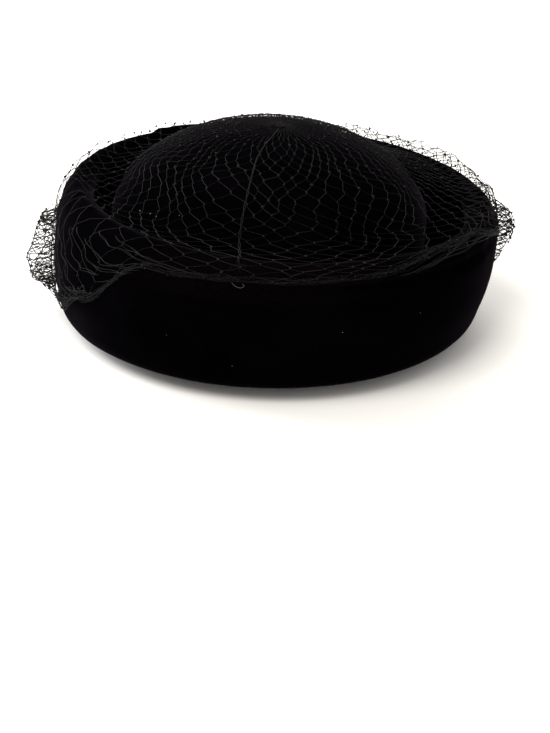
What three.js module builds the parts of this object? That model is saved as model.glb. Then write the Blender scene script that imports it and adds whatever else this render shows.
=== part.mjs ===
// A velvet hat: a low domed crown set down inside a deep turned-up cuff, with a coarse net veil
// drawn over the crown, the gap round it and the rim, and gathered along its edge.
// Millimetres, +Z up. Angles are in degrees from +X (the right end) toward +Y (the far side).
import * as THREE from "three";

// Cuff: the brim, turned up all the way round
const bellyWidth = 240;
const bellyDepth = 228;
const cuffHeight = 74;
const cuffWall = 3;
const seatInset = 38; // belly to the edge of the head opening
const cornerInset = 28; // belly to where the underside starts to turn up
const rimInset = 12; // belly to the crest of the rolled rim
const rollWidth = 9; // crest to the inner edge of the roll
const rimRise = 5.2; // rise of the rim at its high side, and its fall at the opposite side
const rimHighAngle = 145;
const lean = 5.8; // how far the rim stands to the right of the underside
const flare = 3.9; // extra outward swing of the rim at the right end
const cuffMiddle = 0.45; // share of the cuff's height that the lean and flare turn about
const creaseDepth = 6; // fold in the near side, under the roll
const creaseMiddle = 290;
const creaseSpread = 66; // degrees to each side of the middle where the crease has died out

// Crown: side wall and dome
const crownWidth = 171;
const crownDepth = 177;
const crownSpring = 59; // where the side wall ends and the dome starts
const domeRise = 46.5;
const domeFullness = 1.8; // 2 is an ellipse, more is squarer
const crownShift = -2.4; // crown's middle, right of the belly's middle
const crownSetBack = 2.5; // crown's middle, behind the belly's middle
const crownWall = 2.5;
const seamClearance = 1.5; // crown wall's foot to the edge of the head opening
const seatGap = 0.3; // between pieces that touch

// Veil: coarse net
const veilThickness = 1.2;
const veilLift = 1; // net's inner face above the crown
const veilRimLift = 2; // net's inner face above the rim, where it is drawn taut
const veilColumns = 14;
const veilCrownRows = 6; // rows of cells from the gather to the rim's crest
const veilRimRows = 2; // rows of cells from the crest to the hem
const strandWidth = 2.6;
const nodeShare = 0.2; // largest share of the nodes' spacing that half a node takes
const gatherRadius = 6; // open middle of the gather on top
const gatherWidth = 10;
const puffHeight = 7; // how far the net stands above the crest where it puffs up
const puffMiddle = 38;
const puffSpread = 48;

// Veil's gathered edge and bunches
const hemWidth = 7;
const hemThickness = 4;
const hemPleats = 26;
const pleatDip = 0.4; // share of the hem's thickness lost between pleats
const hemSeat = 0.6; // hem above the velvet
const hemClearance = 1.6; // net's last band to the hem
const leftBunch = { footAngle: 192, topAngle: 178, foot: 0.42, top: 0.88, depth: 14, fold: 5, folds: 7 };
const rightBunch = { footAngle: -2, topAngle: 2, foot: 0.67, top: 0.9, depth: 10, fold: 5, folds: 4 };
const bunchThickness = 1.5;
const bunchTaper = 0.25; // share of a bunch's depth lost at its ends

// Facets
const cuffFacets = 60;
const crownFacets = 48;
const hemFacets = 60;

// Cuff section from the head opening, under, round the belly and over the rim. Each row's inset
// from the belly is the sum of its shares of the insets and the roll; crease is its share of the
// crease's depth, height its share of the cuff's height.
const cuffSection = [
  { seat: 1, corner: 0, rim: 0, roll: 0, crease: 0, height: 0 },
  { seat: 0, corner: 1, rim: 0, roll: 0, crease: 0, height: 0 },
  { seat: 0, corner: 0.7, rim: 0, roll: 0, crease: 0, height: 0.03 },
  { seat: 0, corner: 0.21, rim: 0, roll: 0, crease: 0, height: 0.12 },
  { seat: 0, corner: 0.07, rim: 0, roll: 0, crease: 0, height: 0.28 },
  { seat: 0, corner: 0, rim: 0, roll: 0, crease: 0, height: 0.45 },
  { seat: 0, corner: 0, rim: 0.05, roll: 0, crease: 0, height: 0.62 },
  { seat: 0, corner: 0, rim: 0.15, roll: 0, crease: 0.15, height: 0.76 },
  { seat: 0, corner: 0, rim: 0.26, roll: 0, crease: 1, height: 0.83 },
  { seat: 0, corner: 0, rim: 0.4, roll: 0, crease: 0.35, height: 0.9 },
  { seat: 0, corner: 0, rim: 0.65, roll: 0, crease: 0, height: 0.96 },
  { seat: 0, corner: 0, rim: 1, roll: 0, crease: 0, height: 1 },
  { seat: 0, corner: 0, rim: 1, roll: 0.65, crease: 0, height: 0.97 },
  { seat: 0, corner: 0, rim: 1, roll: 1, crease: 0, height: 0.9 },
];
const firstBellyRow = 1;
const crestRow = 11;

// Crown's side wall between its foot and the spring of the dome; swell is the share of the way
// from the foot's outline to the dome's
const crownSideSection = [
  { swell: 0, height: 0 },
  { swell: 0.45, height: 0.33 },
  { swell: 0.85, height: 0.7 },
];
// Dome's rings, as shares of a quarter turn from the spring to the top
const domeRings = [0, 0.12, 0.24, 0.37, 0.5, 0.63, 0.76, 0.89];

// Veil round the hat. leave is the share of the dome's rise at which the net leaves the crown for
// the rim; hem is the height of its gathered edge on the cuff's outside, and fullness the share of
// the hem's full width there
const veilRound = [
  { angle: 0, leave: 0.42, hem: 0.56, fullness: 0.9 },
  { angle: 60, leave: 0.5, hem: 0.6, fullness: 0.8 },
  { angle: 120, leave: 0.45, hem: 0.6, fullness: 0.8 },
  { angle: 150, leave: 0.4, hem: 0.56, fullness: 0.8 },
  { angle: 188, leave: 0.35, hem: 0.28, fullness: 0.9 },
  { angle: 204, leave: 0.32, hem: 0.28, fullness: 1 },
  { angle: 238, leave: 0.3, hem: 0.85, fullness: 0.8 },
  { angle: 270, leave: 0.3, hem: 0.86, fullness: 1 },
  { angle: 310, leave: 0.3, hem: 0.86, fullness: 1 },
  { angle: 330, leave: 0.36, hem: 0.86, fullness: 1 },
];

// Colours
const velvetLook = { color: 0x0b090b, roughness: 0.95, metalness: 0 };
const netLook = { color: 0x1d1b1c, roughness: 0.7, metalness: 0 };

const radians = THREE.MathUtils.degToRad;

// Share of a bump left at an angle: 1 at its middle, falling smoothly to 0 at its spread
function bumpAt(angle, middle, spread) {
  const away = Math.abs(THREE.MathUtils.euclideanModulo(angle - middle + 180, 360) - 180);
  return 1 - THREE.MathUtils.smoothstep(away, 0, spread);
}

// Value of one column of a table of angles, eased between its rows and closed round the hat
function tableAt(table, column, angle) {
  const turned = THREE.MathUtils.euclideanModulo(angle, 360);
  const last = table.length - 1;
  const after = table.findIndex((row) => row.angle > turned);
  const to = after < 0 ? table[0] : table[after];
  const from = after < 0 ? table[last] : table[after - 1];
  const reach = THREE.MathUtils.euclideanModulo(to.angle - from.angle, 360);
  const share = THREE.MathUtils.smoothstep((turned - from.angle) / reach, 0, 1);
  return THREE.MathUtils.lerp(from[column], to[column], share);
}

// Point of an ellipse moved inward along its normal
function ellipsePoint(halfWidth, halfDepth, angle, inset) {
  const turn = radians(angle);
  const across = Math.cos(turn) / halfWidth;
  const along = Math.sin(turn) / halfDepth;
  const length = Math.hypot(across, along);
  return new THREE.Vector2(
    halfWidth * Math.cos(turn) - (inset * across) / length,
    halfDepth * Math.sin(turn) - (inset * along) / length,
  );
}

// Outer line of the cuff's section at an angle: x is the inset from the belly, y the height
function cuffOutline(angle) {
  const crease = creaseDepth * bumpAt(angle, creaseMiddle, creaseSpread);
  return cuffSection.map((row) => new THREE.Vector2(
    row.seat * seatInset + row.corner * cornerInset + row.rim * rimInset
      + row.roll * rollWidth + row.crease * crease,
    row.height * cuffHeight,
  ));
}

// Moves an open outline along its normals; a positive distance goes to the cuff's inside
function offsetOutline(outline, distance) {
  return outline.map((point, index) => {
    const before = outline[Math.max(index - 1, 0)];
    const after = outline[Math.min(index + 1, outline.length - 1)];
    const into = point.clone().sub(before).normalize();
    const out = after.clone().sub(point).normalize();
    const tangent = into.add(out).normalize();
    return new THREE.Vector2(point.x + tangent.y * distance, point.y - tangent.x * distance);
  });
}

// Places a point of the cuff's section in space, with the rim's rise, lean and flare
function placeOnCuff(angle, sectionPoint) {
  const share = sectionPoint.y / cuffHeight;
  const flat = ellipsePoint(bellyWidth / 2, bellyDepth / 2, angle, sectionPoint.x);
  const facing = Math.max(Math.cos(radians(angle)), 0);
  const swing = flare * Math.max(share - cuffMiddle, 0) * facing * facing;
  const rise = rimRise * share * share * Math.cos(radians(angle - rimHighAngle));
  return new THREE.Vector3(flat.x + lean * (share - cuffMiddle) + swing, flat.y, sectionPoint.y + rise);
}

// A point between the cuff's section rows where its outside has a given height share
function outlineAtHeight(outline, heightShare) {
  const height = heightShare * cuffHeight;
  let row = firstBellyRow;
  while (row < crestRow - 1 && outline[row + 1].y < height) {
    row += 1;
  }
  const share = (height - outline[row].y) / (outline[row + 1].y - outline[row].y);
  return outline[row].clone().lerp(outline[row + 1], THREE.MathUtils.clamp(share, 0, 1));
}

// Crown's surface: level runs from 0 at the side wall's foot over 1 at the spring to 2 on top
const crownFoot = cuffWall + seatGap;
const crownFootInset = seatInset - seamClearance - crownWall;
function crownPoint(angle, level, outward) {
  const turn = radians(angle);
  if (level >= 1) {
    const climb = (level - 1) * 0.5 * Math.PI;
    const reach = Math.max(Math.cos(climb), 0) ** (2 / domeFullness);
    return new THREE.Vector3(
      crownShift + (crownWidth / 2 + outward) * reach * Math.cos(turn),
      crownSetBack + (crownDepth / 2 + outward) * reach * Math.sin(turn),
      crownSpring + (domeRise + outward) * Math.sin(climb) ** (2 / domeFullness),
    );
  }
  const foot = ellipsePoint(bellyWidth / 2, bellyDepth / 2, angle, crownFootInset - outward);
  const spring = new THREE.Vector2(
    crownShift + (crownWidth / 2 + outward) * Math.cos(turn),
    crownSetBack + (crownDepth / 2 + outward) * Math.sin(turn),
  );
  const swell = tableShare(crownSideSection, level);
  const flat = foot.setX(foot.x - lean * cuffMiddle).lerp(spring, swell);
  return new THREE.Vector3(flat.x, flat.y, THREE.MathUtils.lerp(crownFoot, crownSpring, level));
}

// Swell of the side wall at a level between its foot and the spring
function tableShare(section, level) {
  const rows = [...section, { swell: 1, height: 1 }];
  const after = Math.max(rows.findIndex((row) => row.height > level), 1);
  const from = rows[after - 1];
  const to = rows[after];
  const share = (level - from.height) / (to.height - from.height);
  return THREE.MathUtils.lerp(from.swell, to.swell, share);
}

// Angles of evenly spaced stations round the hat
function stations(count) {
  return Array.from({ length: count }, (_, index) => (360 * index) / count);
}

// Closed solid from points and faces, turned inside out if its volume comes out negative
function solidOf(points, triangles) {
  let volume = 0;
  const crossed = new THREE.Vector3();
  for (const [a, b, c] of triangles) {
    volume += points[a].dot(crossed.crossVectors(points[b], points[c]));
  }
  const faces = volume < 0 ? triangles.map(([a, b, c]) => [a, c, b]) : triangles;
  const geometry = new THREE.BufferGeometry();
  geometry.setAttribute("position", new THREE.Float32BufferAttribute(points.flatMap((p) => p.toArray()), 3));
  geometry.setIndex(faces.flat());
  geometry.computeVertexNormals();
  return geometry;
}

// Solid from rows of points. A row of one point is a pole. Rows close on themselves, and the last
// row meets the first where looped is set.
function solidOfRows(rows, looped) {
  const points = [];
  const starts = rows.map((row) => {
    points.push(...row);
    return points.length - row.length;
  });
  const triangles = [];
  const bands = looped ? rows.length : rows.length - 1;
  for (let band = 0; band < bands; band += 1) {
    const next = (band + 1) % rows.length;
    const lower = rows[band].length;
    const upper = rows[next].length;
    for (let column = 0; column < Math.max(lower, upper); column += 1) {
      const a = starts[band] + (column % lower);
      const b = starts[band] + ((column + 1) % lower);
      const c = starts[next] + ((column + 1) % upper);
      const d = starts[next] + (column % upper);
      if (a !== b) {
        triangles.push([a, b, c]);
      }
      if (c !== d) {
        triangles.push([a, c, d]);
      }
    }
  }
  return solidOf(points, triangles);
}

// One wall from the head opening to the rolled rim
function cuffGeometry() {
  const loops = stations(cuffFacets).map((angle) => {
    const outer = cuffOutline(angle);
    const inner = offsetOutline(outer, cuffWall).reverse();
    return [...outer, ...inner].map((point) => placeOnCuff(angle, point));
  });
  const rows = loops[0].map((_, index) => loops.map((loop) => loop[index]));
  return solidOfRows(rows, true);
}

// Hollow crown, open below
function crownGeometry() {
  const angles = stations(crownFacets);
  const levels = [...crownSideSection.map((row) => row.height), ...domeRings.map((ring) => 1 + ring)];
  const outer = levels.map((level) => angles.map((angle) => crownPoint(angle, level, 0)));
  const inner = levels.map((level) => angles.map((angle) => crownPoint(angle, level, -crownWall)));
  const rows = [
    [crownPoint(0, 2, 0)],
    ...outer.reverse(),
    ...inner,
    [crownPoint(0, 2, -crownWall)],
  ];
  return solidOfRows(rows, false);
}

// Level on the dome where a share of its rise is reached
function domeLevel(riseShare) {
  return 1 + Math.asin(riseShare ** (domeFullness / 2)) / (0.5 * Math.PI);
}

// Level on the dome where its outline has a given radius on average
function domeLevelAtRadius(radius) {
  const reach = (4 * radius) / (crownWidth + crownDepth);
  return 1 + Math.acos(reach ** (domeFullness / 2)) / (0.5 * Math.PI);
}

// Line of the net's middle from the gather down the crown and across to the rim's crest
const veilMiddle = veilLift + veilThickness / 2;
const veilRimMiddle = veilRimLift + veilThickness / 2;
const crownLinePoints = 10;
function veilCrownLine(angle) {
  const top = domeLevelAtRadius(gatherRadius + gatherWidth);
  const foot = domeLevel(tableAt(veilRound, "leave", angle));
  const line = [];
  for (let index = 0; index <= crownLinePoints; index += 1) {
    line.push(crownPoint(angle, THREE.MathUtils.lerp(top, foot, index / crownLinePoints), veilMiddle));
  }
  line.push(veilCrest(angle));
  return line;
}

// Net's middle over the crest of the roll
function veilCrest(angle) {
  const crest = offsetOutline(cuffOutline(angle), -veilRimMiddle)[crestRow];
  const point = placeOnCuff(angle, crest);
  return point.setZ(point.z + puffHeight * bumpAt(angle, puffMiddle, puffSpread));
}

// Line of the net's middle from the crest down the cuff's outside to the hem
function veilRimLine(angle) {
  const outline = cuffOutline(angle);
  const lifted = offsetOutline(outline, -veilRimMiddle);
  const end = hemHeight(angle) + (hemHalfWidth(angle) + hemClearance + strandWidth / 2) / cuffHeight;
  const line = [veilCrest(angle)];
  for (let row = crestRow - 1; row > firstBellyRow; row -= 1) {
    if (cuffSection[row].height > end) {
      line.push(placeOnCuff(angle, lifted[row]));
    }
  }
  line.push(placeOnCuff(angle, outlineAtHeight(lifted, end)));
  return line;
}

// Point at a share of a line's length
function pointAlong(line, share) {
  const lengths = line.slice(1).map((point, index) => point.distanceTo(line[index]));
  const total = lengths.reduce((sum, length) => sum + length, 0);
  let left = share * total;
  let step = 0;
  while (step < lengths.length - 1 && left > lengths[step]) {
    left -= lengths[step];
    step += 1;
  }
  return line[step].clone().lerp(line[step + 1], left / lengths[step]);
}

// Middle surface of the net; row counts rows of cells from the gather
const crownSpacing = 0.86; // below 1, cells grow shorter toward the rim
function veilPoint(angle, row) {
  if (row < 0) {
    const radius = gatherRadius + gatherWidth * (1 + row);
    return crownPoint(angle, domeLevelAtRadius(radius), veilMiddle);
  }
  if (row <= veilCrownRows) {
    return pointAlong(veilCrownLine(angle), (row / veilCrownRows) ** crownSpacing);
  }
  return pointAlong(veilRimLine(angle), (row - veilCrownRows) / veilRimRows);
}

// Outward normal of the net's middle surface, and its stretch along both directions
const probe = 0.01;
function veilFrame(angle, row) {
  const lastRow = veilCrownRows + veilRimRows;
  const up = veilPoint(angle, Math.max(row - probe, -1));
  const down = veilPoint(angle, Math.min(row + probe, lastRow));
  const steps = Math.min(row + probe, lastRow) - Math.max(row - probe, -1);
  const back = veilPoint(angle - probe, row);
  const on = veilPoint(angle + probe, row);
  const rowVector = down.sub(up).divideScalar(steps);
  const angleVector = on.sub(back).divideScalar(2 * probe);
  return {
    normal: rowVector.clone().cross(angleVector).normalize(),
    perRow: rowVector.length(),
    perAngle: angleVector.length(),
  };
}

// Net of staggered nodes. Each node is a small rhombus whose sides carry the strands to the
// nodes of the rows before and after it; a band closes the first row and the last.
function veilGeometry() {
  const rowCount = veilCrownRows + veilRimRows;
  const spots = [];
  const spot = (angle, row) => spots.push({ angle, row }) - 1;
  const panels = [];
  const spacing = 360 / veilColumns;
  const nodes = [];
  for (let row = 0; row <= rowCount; row += 1) {
    nodes.push([]);
    for (let column = 0; column < veilColumns; column += 1) {
      const angle = (column + (row % 2) / 2) * spacing;
      const frame = veilFrame(angle, row);
      const half = Math.min(strandWidth / 2, nodeShare * frame.perAngle * spacing, nodeShare * frame.perRow);
      const side = half / frame.perAngle;
      const tall = half / frame.perRow;
      nodes[row].push({
        up: row > 0 ? spot(angle, row - tall) : -1,
        down: row < rowCount ? spot(angle, row + tall) : -1,
        left: spot(angle - side, row),
        right: spot(angle + side, row),
        angle,
        side,
        tall,
      });
    }
  }
  const at = (row, column) => nodes[row][THREE.MathUtils.euclideanModulo(column, veilColumns)];
  const between = (a, b, shift) => spot(
    (spots[a].angle + spots[b].angle + shift) / 2,
    (spots[a].row + spots[b].row) / 2,
  );
  const joinStrand = (upperSide, upperDown, lowerUp, lowerSide) => {
    const wrap = 360 * Math.round((spots[upperSide].angle - spots[lowerUp].angle) / 360);
    const outerMiddle = between(upperSide, lowerUp, wrap);
    const innerMiddle = between(upperDown, lowerSide, wrap);
    panels.push([upperSide, outerMiddle, innerMiddle, upperDown]);
    panels.push([outerMiddle, lowerUp, lowerSide, innerMiddle]);
  };
  for (let row = 0; row <= rowCount; row += 1) {
    for (let column = 0; column < veilColumns; column += 1) {
      const node = at(row, column);
      if (row > 0 && row < rowCount) {
        panels.push([node.up, node.right, node.down, node.left]);
      }
      if (row < rowCount) {
        const shift = row % 2;
        const lowerRight = at(row + 1, column + shift);
        const lowerLeft = at(row + 1, column + shift - 1);
        joinStrand(node.right, node.down, lowerRight.up, lowerRight.left);
        joinStrand(node.left, node.down, lowerLeft.up, lowerLeft.right);
      }
    }
  }
  addBand(0, -1, "down");
  addBand(rowCount, 1, "up");

  // Closing band on the far side of a row of nodes, with a middle station between nodes
  function addBand(row, away, tip) {
    const width = away < 0 ? 1 : Math.min(...nodes[row].map((node) => node.tall));
    const rims = nodes[row].map((node, column) => {
      const next = at(row, column + 1);
      const gap = THREE.MathUtils.euclideanModulo(next.angle - node.angle, 360);
      const stops = [node.left, node.right];
      for (const share of [1 / 3, 2 / 3]) {
        stops.push(spot(node.angle + node.side + share * (gap - node.side - next.side), row));
      }
      return stops;
    });
    const edges = rims.map((stops) => stops.map((stop) => spot(spots[stop].angle, row + away * width)));
    rims.forEach((stops, column) => {
      const nextColumn = (column + 1) % veilColumns;
      const inner = [...stops, rims[nextColumn][0]];
      const outer = [...edges[column], edges[nextColumn][0]];
      for (let step = 0; step < stops.length; step += 1) {
        panels.push([inner[step], inner[step + 1], outer[step + 1], outer[step]]);
      }
      panels.push([stops[0], stops[1], nodes[row][column][tip]]);
    });
  }
  return thickened(spots, panels);
}

// Closed solid from panels on the net's middle surface: both faces, and a wall on each free edge
function thickened(spots, panels) {
  const count = spots.length;
  const faces = spots.map(({ angle, row }) => {
    const middle = veilPoint(angle, row);
    const step = veilFrame(angle, row).normal.multiplyScalar(veilThickness / 2);
    return { outer: middle.clone().add(step), inner: middle.clone().sub(step) };
  });
  const points = [...faces.map((face) => face.outer), ...faces.map((face) => face.inner)];
  const triangles = [];
  const edges = new Map();
  for (const panel of panels) {
    const turned = isTurned(panel.map((index) => points[index]), panel.map((index) => faces[index]));
    const loop = turned ? [...panel].reverse() : panel;
    for (let index = 1; index < loop.length - 1; index += 1) {
      triangles.push([loop[0], loop[index], loop[index + 1]]);
      triangles.push([loop[0] + count, loop[index + 1] + count, loop[index] + count]);
    }
    loop.forEach((from, index) => {
      const to = loop[(index + 1) % loop.length];
      if (edges.has(`${to} ${from}`)) {
        edges.delete(`${to} ${from}`);
      } else {
        edges.set(`${from} ${to}`, [from, to]);
      }
    });
  }
  for (const [from, to] of edges.values()) {
    triangles.push([to, from, from + count]);
    triangles.push([to, from + count, to + count]);
  }
  return solidOf(points, triangles);
}

// Whether a panel runs clockwise seen from outside
function isTurned(corners, faces) {
  const across = corners[2].clone().sub(corners[0]);
  const other = corners[corners.length - 1].clone().sub(corners[1]);
  const facing = corners.length === 3
    ? corners[1].clone().sub(corners[0]).cross(corners[2].clone().sub(corners[0]))
    : across.cross(other);
  const outward = faces[0].outer.clone().sub(faces[0].inner);
  return facing.dot(outward) < 0;
}

// Height share of the hem's middle line on the cuff's outside, and half its width
function hemHeight(angle) {
  return tableAt(veilRound, "hem", angle);
}
function hemHalfWidth(angle) {
  return 0.5 * hemWidth * tableAt(veilRound, "fullness", angle);
}

// Gathered edge: an oval roll round the cuff whose thickness swells and dips with the pleats
const hemSides = 8;
function hemGeometry() {
  const rings = stations(hemFacets).map((angle) => {
    const outline = cuffOutline(angle);
    const foot = outlineAtHeight(outline, hemHeight(angle));
    const above = outlineAtHeight(outline, hemHeight(angle) + hemHalfWidth(angle) / cuffHeight);
    const below = outlineAtHeight(outline, hemHeight(angle) - hemHalfWidth(angle) / cuffHeight);
    const along = above.clone().sub(below).normalize();
    const outward = new THREE.Vector2(-along.y, along.x);
    const pleat = 1 - pleatDip * (0.5 - 0.5 * Math.cos(radians(angle * hemPleats)));
    const halfThickness = 0.5 * hemThickness * pleat;
    const proud = Math.max(0, ...[above, below].map((lip) => lip.sub(foot).dot(outward)));
    const middle = foot.clone().addScaledVector(outward, halfThickness + hemSeat + proud);
    return Array.from({ length: hemSides }, (_, side) => {
      const turn = (2 * Math.PI * side) / hemSides;
      const point = middle.clone()
        .addScaledVector(along, hemHalfWidth(angle) * Math.cos(turn))
        .addScaledVector(outward, halfThickness * Math.sin(turn));
      return placeOnCuff(angle, point);
    });
  });
  const rows = rings[0].map((_, side) => rings.map((ring) => ring[side]));
  return solidOfRows(rows, true);
}

// Bunch of net: a strip folded back and forth as it runs up the cuff's outside, standing out
// from the net below it. The folds swing wider toward the strip's free edge.
const bunchSection = [
  { reach: 0, spread: 0.35 },
  { reach: 0.5, spread: 0.8 },
  { reach: 1, spread: 1 },
];
function bunchGeometry({ footAngle, topAngle, foot, top, depth, fold, folds }) {
  const root = veilRimLift + veilThickness + seatGap;
  const perDegree = radians(bellyWidth / 2);
  const steps = 2 * folds;
  const loops = [];
  for (let step = 0; step <= steps; step += 1) {
    const share = step / steps;
    const angle = THREE.MathUtils.lerp(footAngle, topAngle, share);
    const lifted = offsetOutline(cuffOutline(angle), -root);
    const seat = outlineAtHeight(lifted, THREE.MathUtils.lerp(foot, top, share));
    const swell = 1 - bunchTaper * (2 * share - 1) ** 2;
    const swing = step % 2 === 0 ? -0.5 : 0.5;
    const side = (row, face) => {
      const out = new THREE.Vector2(seat.x - depth * swell * row.reach, seat.y);
      const turn = (swing * fold * row.spread + face * bunchThickness) / perDegree;
      return placeOnCuff(angle + turn, out);
    };
    const ahead = bunchSection.map((row) => side(row, 1));
    const behind = bunchSection.map((row) => side(row, -1)).reverse();
    loops.push([...ahead, ...behind]);
  }
  return solidOfStack(loops);
}

// Solid from closed loops stacked one after the other, with flat ends
function solidOfStack(loops) {
  const size = loops[0].length;
  const triangles = [];
  for (let step = 0; step < loops.length - 1; step += 1) {
    for (let index = 0; index < size; index += 1) {
      const a = step * size + index;
      const b = step * size + ((index + 1) % size);
      triangles.push([a, b, b + size], [a, b + size, a + size]);
    }
  }
  const last = (loops.length - 1) * size;
  for (let index = 1; index < size - 1; index += 1) {
    triangles.push([0, index + 1, index]);
    triangles.push([last, last + index, last + index + 1]);
  }
  return solidOf(loops.flat(), triangles);
}

function piece(name, geometry, look) {
  const mesh = new THREE.Mesh(geometry, new THREE.MeshStandardMaterial(look));
  mesh.name = name;
  return mesh;
}

const hat = new THREE.Group();
hat.add(piece("cuff", cuffGeometry(), velvetLook));
hat.add(piece("crown", crownGeometry(), velvetLook));
hat.add(piece("veil", veilGeometry(), netLook));
hat.add(piece("veil_hem", hemGeometry(), netLook));
hat.add(piece("veil_bunch_left", bunchGeometry(leftBunch), netLook));
hat.add(piece("veil_bunch_right", bunchGeometry(rightBunch), netLook));

// The hat stands on the origin's plane with its middle over the origin
const box = new THREE.Box3().setFromObject(hat);
const middle = box.getCenter(new THREE.Vector3());
hat.position.set(-middle.x, -middle.y, -box.min.z);
hat.updateMatrixWorld(true);

export default hat;
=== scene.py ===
import math
import random

import bmesh
import bpy
from mathutils import Matrix, Vector, noise


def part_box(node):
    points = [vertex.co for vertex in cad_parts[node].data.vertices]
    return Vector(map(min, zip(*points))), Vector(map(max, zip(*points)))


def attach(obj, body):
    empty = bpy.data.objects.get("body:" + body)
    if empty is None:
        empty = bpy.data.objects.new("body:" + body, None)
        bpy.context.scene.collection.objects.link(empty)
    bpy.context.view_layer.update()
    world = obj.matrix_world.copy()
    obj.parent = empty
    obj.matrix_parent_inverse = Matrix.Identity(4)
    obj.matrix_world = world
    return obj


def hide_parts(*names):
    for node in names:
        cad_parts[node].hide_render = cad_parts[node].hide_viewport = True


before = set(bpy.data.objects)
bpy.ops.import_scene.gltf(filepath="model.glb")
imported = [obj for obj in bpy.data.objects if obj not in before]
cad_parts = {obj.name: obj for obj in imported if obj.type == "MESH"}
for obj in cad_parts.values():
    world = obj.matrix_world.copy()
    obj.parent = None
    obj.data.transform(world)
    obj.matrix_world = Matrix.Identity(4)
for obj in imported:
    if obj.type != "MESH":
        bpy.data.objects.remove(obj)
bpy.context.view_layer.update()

# Camera. The view is from in front of the hat, a little above it and rolled a little. The hat is
# above the middle of the picture, so the camera is turned until the hat's middle falls on its pixel.
PICTURE_WIDTH = 550
PICTURE_HEIGHT = 733
FOCAL_PIXELS = 1100
SENSOR = 36
ELEVATION = math.radians(21.46)
ROLL = math.radians(1.61)
DISTANCE = 0.6111
AIM_HEIGHT = 0.045
AIM_PIXEL = Vector((272.8, 234.3))
CROWN_SHIFT = -0.0024
CROWN_SET_BACK = 0.0025


def hat_middle():
    """The middle of the hat's plan, from the crown's box and the crown's offset in the hat."""
    low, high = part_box("crown")
    middle = (low + high) / 2 - Vector((CROWN_SHIFT, CROWN_SET_BACK, 0))
    return Vector((middle.x, middle.y, 0))


MIDDLE = hat_middle()

camera_data = bpy.data.cameras.new("camera")
camera_data.sensor_width = SENSOR
camera_data.lens = SENSOR * FOCAL_PIXELS / PICTURE_HEIGHT
camera = bpy.data.objects.new("camera", camera_data)
bpy.context.scene.collection.objects.link(camera)
back = Vector((0, -math.cos(ELEVATION), math.sin(ELEVATION)))
level_view = back.to_track_quat("Z", "Y").to_matrix()
seen_at = Vector((
    AIM_PIXEL.x - PICTURE_WIDTH / 2,
    PICTURE_HEIGHT / 2 - AIM_PIXEL.y,
    -FOCAL_PIXELS,
))
turn_to_pixel = seen_at.rotation_difference(Vector((0, 0, -1))).to_matrix()
turned = level_view @ Matrix.Rotation(ROLL, 3, "Z") @ turn_to_pixel
aim = MIDDLE + Vector((0, 0, AIM_HEIGHT))
camera.matrix_world = Matrix.Translation(aim + DISTANCE * back) @ turned.to_4x4()
bpy.context.scene.camera = camera

# Cuff. The brim is one wall of black cotton velvet over a stiff base. It starts at the head opening,
# turns up all the way round and ends in a soft roll. The near side has a crease under the roll.
BELLY_WIDTH = 0.240
BELLY_DEPTH = 0.228
CUFF_HEIGHT = 0.074
CUFF_WALL = 0.003
SEAT_INSET = 0.038
CORNER_INSET = 0.028
RIM_INSET = 0.012
ROLL_WIDTH = 0.009
RIM_RISE = 0.0052
RIM_HIGH_ANGLE = 145
LEAN = 0.0058
FLARE = 0.0039
CUFF_MIDDLE = 0.45
CREASE_DEPTH = 0.006
CREASE_MIDDLE = 290
CREASE_SPREAD = 66
LAP_ANGLE = 134
LAP_LENGTH = 46
LAP_STEP = 1.6
LAP_FADE = 30
LAP_RISE = 0.0017
CUFF_COLUMNS = 360
STEPS_PER_ROW = 5

# Shares of the seat, corner, rim, roll and crease sizes and of the cuff's height, from the head
# opening, under, round the belly and over the rim
CUFF_SECTION = [
    {"seat": 1, "corner": 0, "rim": 0, "roll": 0, "crease": 0, "height": 0},
    {"seat": 0, "corner": 1, "rim": 0, "roll": 0, "crease": 0, "height": 0},
    {"seat": 0, "corner": 0.7, "rim": 0, "roll": 0, "crease": 0, "height": 0.03},
    {"seat": 0, "corner": 0.21, "rim": 0, "roll": 0, "crease": 0, "height": 0.12},
    {"seat": 0, "corner": 0.07, "rim": 0, "roll": 0, "crease": 0, "height": 0.28},
    {"seat": 0, "corner": 0, "rim": 0, "roll": 0, "crease": 0, "height": 0.45},
    {"seat": 0, "corner": 0, "rim": 0.05, "roll": 0, "crease": 0, "height": 0.62},
    {"seat": 0, "corner": 0, "rim": 0.15, "roll": 0, "crease": 0.15, "height": 0.76},
    {"seat": 0, "corner": 0, "rim": 0.26, "roll": 0, "crease": 1, "height": 0.83},
    {"seat": 0, "corner": 0, "rim": 0.4, "roll": 0, "crease": 0.35, "height": 0.9},
    {"seat": 0, "corner": 0, "rim": 0.65, "roll": 0, "crease": 0, "height": 0.96},
    {"seat": 0, "corner": 0, "rim": 1, "roll": 0, "crease": 0, "height": 1},
    {"seat": 0, "corner": 0, "rim": 1, "roll": 0.65, "crease": 0, "height": 0.97},
    {"seat": 0, "corner": 0, "rim": 1, "roll": 1, "crease": 0, "height": 0.9},
]
BELLY_ROW = 1
CREST_ROW = 11


def ease(share):
    share = min(max(share, 0), 1)
    return share * share * (3 - 2 * share)


def mix(start, end, share):
    return start + (end - start) * share


def bump_at(angle, middle, spread):
    """Share of a bump left at an angle: 1 at its middle, falling smoothly to 0 at its spread."""
    away = abs((angle - middle + 180) % 360 - 180)
    return 1 - ease(away / spread)


def ellipse_point(half_width, half_depth, angle, inset):
    """Point of an ellipse moved inward along its normal. Angles are in degrees, counted from the
    hat's right end round by its back."""
    turn = math.radians(angle)
    normal = Vector((math.cos(turn) / half_width, math.sin(turn) / half_depth)).normalized()
    return Vector((half_width * math.cos(turn), half_depth * math.sin(turn))) - inset * normal


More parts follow.
